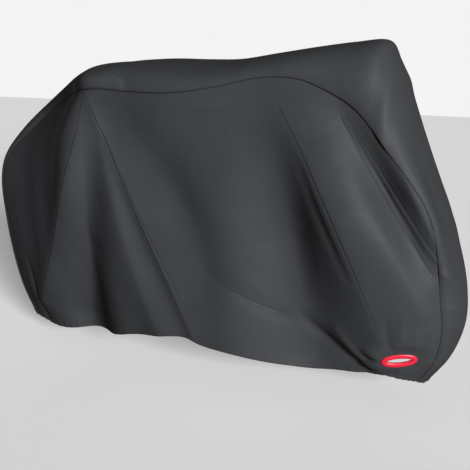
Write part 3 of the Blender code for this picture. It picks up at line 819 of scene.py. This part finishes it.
def ring_profile():
    """The ring's section as (out from the hole's edge, out from the cloth's face), all the way round."""
    neck = -SLOT_PLAY - RING_WALL
    width = RING_LIP - neck
    arc = np.linspace(0, math.pi, RING_ROUND + 1)
    across = neck + width * (1 + np.cos(arc)) / 2
    bulge = RING_WALL * np.sin(arc) ** RING_BULGE
    outer = np.stack((across, SLOT_PLAY + bulge), axis=-1)
    inner = np.stack((across[::-1], -SLOT_WIDTH - SLOT_PLAY - bulge[::-1]), axis=-1)
    slot = ((-SLOT_PLAY, -SLOT_WIDTH - SLOT_PLAY), (-SLOT_PLAY, SLOT_PLAY))
    return np.concatenate((outer, inner, slot))


def mould_ring(name, hole, node):
    """Lead the ring's section around the hole."""
    profile = ring_profile()
    ring = bmesh.new()
    verts = [ring.verts.new((1 + out, 0, lift)) for out, lift in profile]
    edges = [ring.edges.new((vert, verts[number - 1])) for number, vert in enumerate(verts)]
    bmesh.ops.spin(
        ring, geom=verts + edges, cent=(0, 0, 0), axis=(0, 0, 1), angle=math.tau,
        steps=RING_STEPS, use_merge=True,
    )
    for vert in ring.verts:
        turn = math.atan2(vert.co.y, vert.co.x)
        out = math.hypot(vert.co.x, vert.co.y) - 1
        slant = math.hypot(HALF_HEIGHT * math.cos(turn), HALF_LENGTH * math.sin(turn))
        local = np.array((
            math.cos(turn) * (HALF_LENGTH + out * HALF_HEIGHT / slant),
            math.sin(turn) * (HALF_HEIGHT + out * HALF_LENGTH / slant),
            vert.co.z,
        ))
        vert.co = hole.world(local)
    ring.normal_update()
    bmesh.ops.recalc_face_normals(ring, faces=ring.faces)
    mesh = bpy.data.meshes.new(name)
    ring.to_mesh(mesh)
    ring.free()
    mesh.shade_smooth()
    mesh.set_sharp_from_angle(angle=RING_SHARP)
    mesh.materials.append(ring_material)
    item = bpy.data.objects.new(name, mesh)
    bpy.context.scene.collection.objects.link(item)
    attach(item, "root")
    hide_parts(node)


mould_ring("near_red_ring", near_hole, "near_eyelet_ring")
mould_ring("far_red_ring", far_hole, "far_eyelet_ring")

# ---------------------------------------------------------------------------------------------------
# Floor, light and camera: a plain pale floor on the ground below the cover, one soft key light from the
# lock holes' end, a weak one behind, and a camera at the photo's angle, fitted to the wheels' arcs.

AZIMUTH = math.radians(26.2213)
PITCH = math.radians(14.1959)
CAMERA_X, CAMERA_Y, CAMERA_HEIGHT = 1.2338, -2.307, 1.1246
# The lens in pixels, the picture's width in pixels and the camera's own width in millimetres.
FOCAL_PIXELS = 800
PICTURE_PIXELS = 470
SENSOR_WIDTH = 36
FLOOR_REACH = 9
FLOOR_GLOW = 0.22
back = Vector((
    math.sin(AZIMUTH) * math.cos(PITCH),
    -math.cos(AZIMUTH) * math.cos(PITCH),
    math.sin(PITCH),
))
right = Vector((math.cos(AZIMUTH), math.sin(AZIMUTH), 0))
camera_data = bpy.data.cameras.new("camera")
camera_data.lens = FOCAL_PIXELS / PICTURE_PIXELS * SENSOR_WIDTH
camera_data.sensor_width = SENSOR_WIDTH
camera = bpy.data.objects.new("camera", camera_data)
camera.matrix_world = Matrix.Translation((CAMERA_X, CAMERA_Y, CAMERA_HEIGHT - HANGING_HEIGHT)) @ (
    Matrix((right, back.cross(right), back)).transposed().to_4x4()
)
bpy.context.scene.collection.objects.link(camera)
bpy.context.scene.camera = camera

floor = bmesh.new()
bmesh.ops.create_grid(floor, x_segments=1, y_segments=1, size=FLOOR_REACH)
bmesh.ops.translate(floor, verts=floor.verts, vec=(0, 0, -HANGING_HEIGHT))
floor_mesh = bpy.data.meshes.new("floor")
floor.to_mesh(floor_mesh)
floor.free()
floor_material, tree, shader = new_material("pale floor")
shader.inputs["Base Color"].default_value = (0.80, 0.80, 0.80, 1.0)
shader.inputs["Roughness"].default_value = 0.9
shader.inputs["Emission Color"].default_value = (1.0, 1.0, 1.0, 1.0)
shader.inputs["Emission Strength"].default_value = FLOOR_GLOW
floor_mesh.materials.append(floor_material)
floor_item = bpy.data.objects.new("floor", floor_mesh)
# The floor's own light would wash out the folds, so it doesn't reach the cloth.
floor_item.visible_diffuse = False
floor_item.visible_glossy = False
bpy.context.scene.collection.objects.link(floor_item)


def far_light(name, way, spread, strength):
    """A large light far off, that shines from a way."""
    light = bpy.data.lights.new(name, "SUN")
    light.angle = math.radians(spread)
    light.energy = strength
    item = bpy.data.objects.new(name, light)
    item.rotation_euler = Vector(way).to_track_quat("Z", "Y").to_euler()
    bpy.context.scene.collection.objects.link(item)
    return item


# How bright the studio is round about, and how much brighter it looks than it shines.
STUDIO_LIGHT = 0.07
STUDIO_SEEN = 0.83

far_light("key light", way=(0.74, -0.62, 0.26), spread=16, strength=5.5)
# The back light shows the far side, and gives no shine, so that the top keeps a plain edge.
back_light = far_light("back light", way=(-0.35, 0.92, 0.08), spread=30, strength=1.3)
back_light.visible_glossy = False
world = bpy.data.worlds.new("studio")
world.use_nodes = True
studio = Wire(world.node_tree)
seen = studio.add("ShaderNodeLightPath", output=0)
shader = world.node_tree.nodes["Background"]
shader.inputs["Color"].default_value = (1.0, 1.0, 1.0, 1.0)
plug(STUDIO_LIGHT + seen * STUDIO_SEEN, shader.inputs["Strength"])
bpy.context.scene.world = world
bpy.context.scene.view_settings.view_transform = "Standard"
